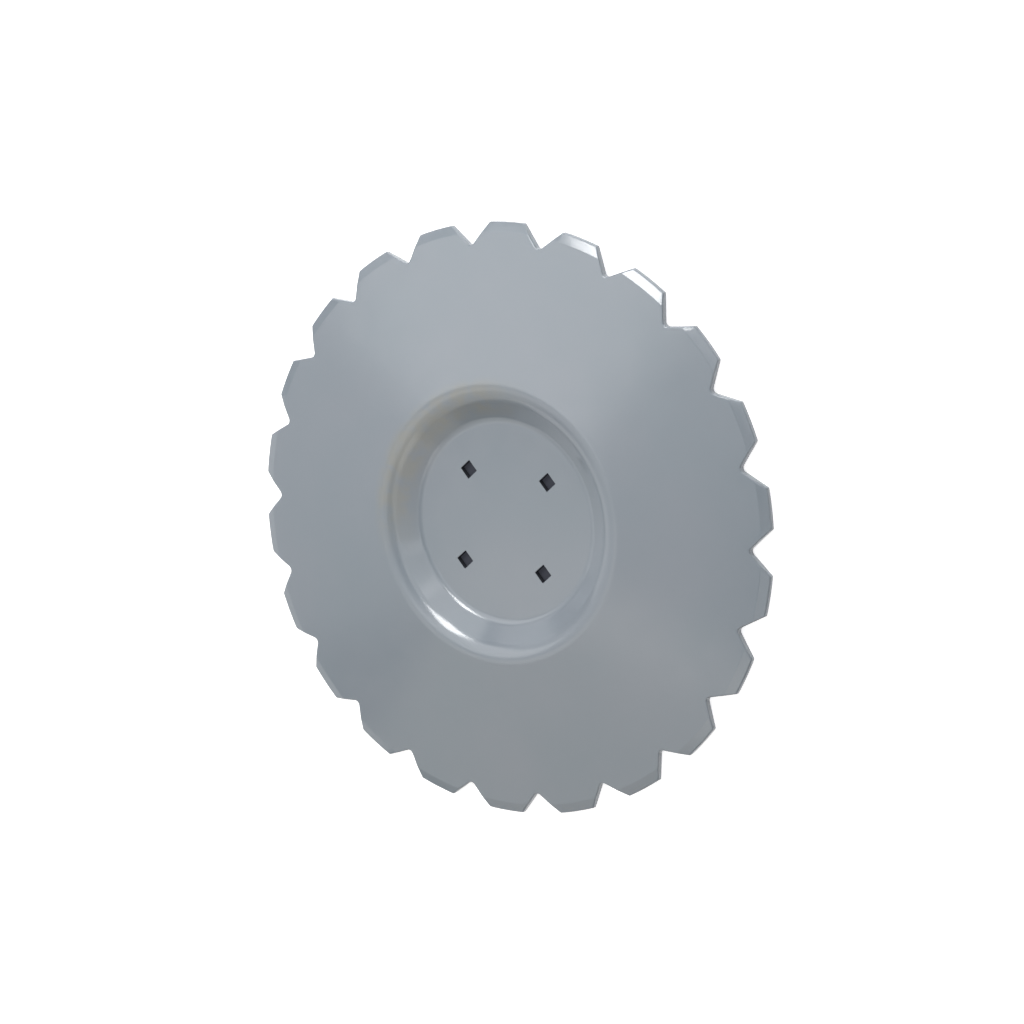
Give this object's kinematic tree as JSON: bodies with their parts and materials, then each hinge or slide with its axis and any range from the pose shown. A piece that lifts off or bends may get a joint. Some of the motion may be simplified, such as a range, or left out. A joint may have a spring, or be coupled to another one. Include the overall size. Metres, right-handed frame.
{
  "type": "harrow disc blade",
  "caption": "Notched harrow disc blade pressed from one steel plate: conical band, bevelled tooth tips and a recessed flat centre with square bolt holes for a wheel hub.",
  "frame": {"origin": "on the blade's axis, in the plane of the underside of its flat centre", "axes": "+Z along the axis, out of the recessed side that takes the hub; +X and +Y along the diagonals of the square bolt holes"},
  "size_m": [0.5098, 0.51, 0.0222],
  "materials": {
    "paint": "gloss"
  },
  "bodies": {
    "root": {"disc_blade": "paint"}
  },
  "joints": []
}
